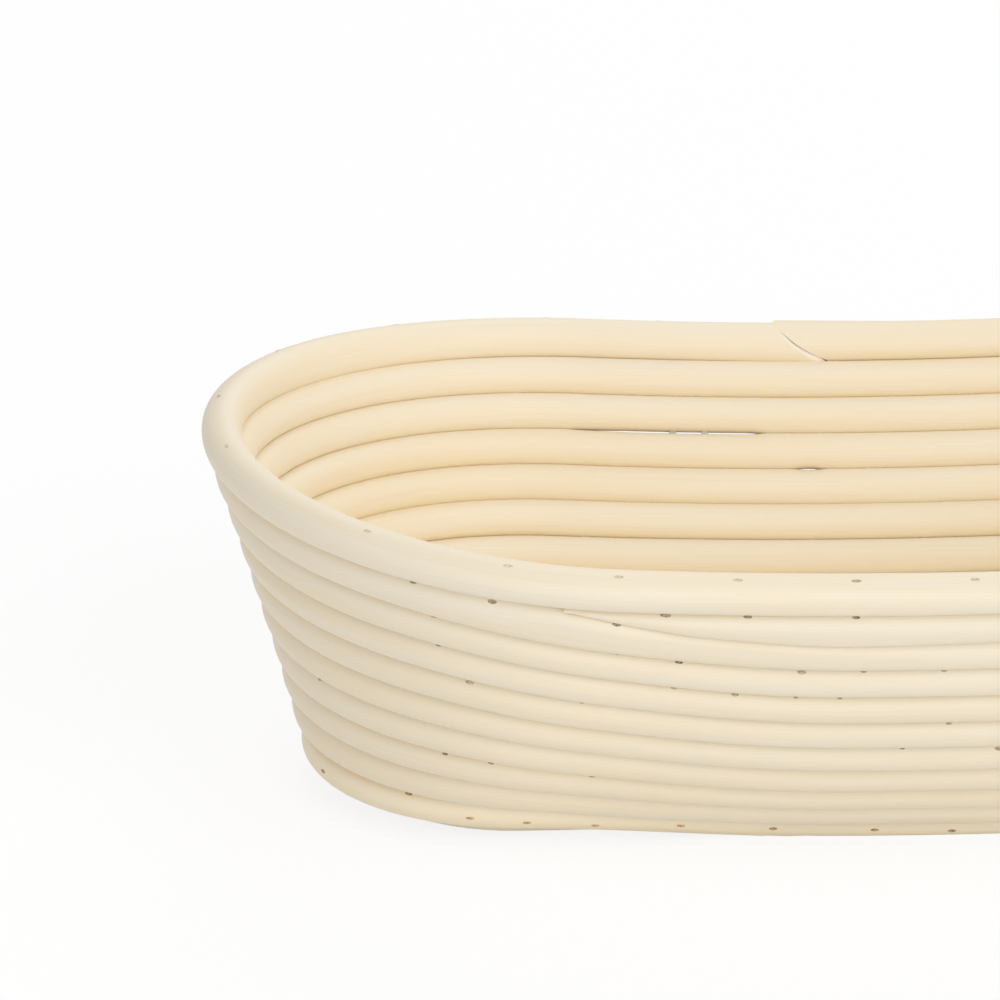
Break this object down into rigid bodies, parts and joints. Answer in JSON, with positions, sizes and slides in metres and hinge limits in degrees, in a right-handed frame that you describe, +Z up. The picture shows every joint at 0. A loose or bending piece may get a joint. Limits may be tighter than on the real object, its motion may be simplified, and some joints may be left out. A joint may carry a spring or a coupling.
{
  "type": "proofing basket",
  "caption": "Oval proofing basket for bread dough, wound from round rattan cane in level rows from a flat base to a flared wall, with a separate rim ring and steel brads.",
  "frame": {"origin": "middle of the base on the floor plane", "axes": "+X along the basket's length, +Y across it towards the long side away from the picture's camera, +Z up"},
  "size_m": [0.25, 0.1512, 0.0741],
  "materials": {
    "cane": "bare pale rattan, satin",
    "brad": "dull steel"
  },
  "bodies": {
    "root": {"base_cane": "cane", "lower_wall_cane": "cane", "upper_wall_cane": "cane", "rim_cane": "cane", "base_brads": "brad", "lower_wall_brads": "brad", "upper_wall_brads": "brad", "rim_brads": "brad"}
  },
  "joints": []
}
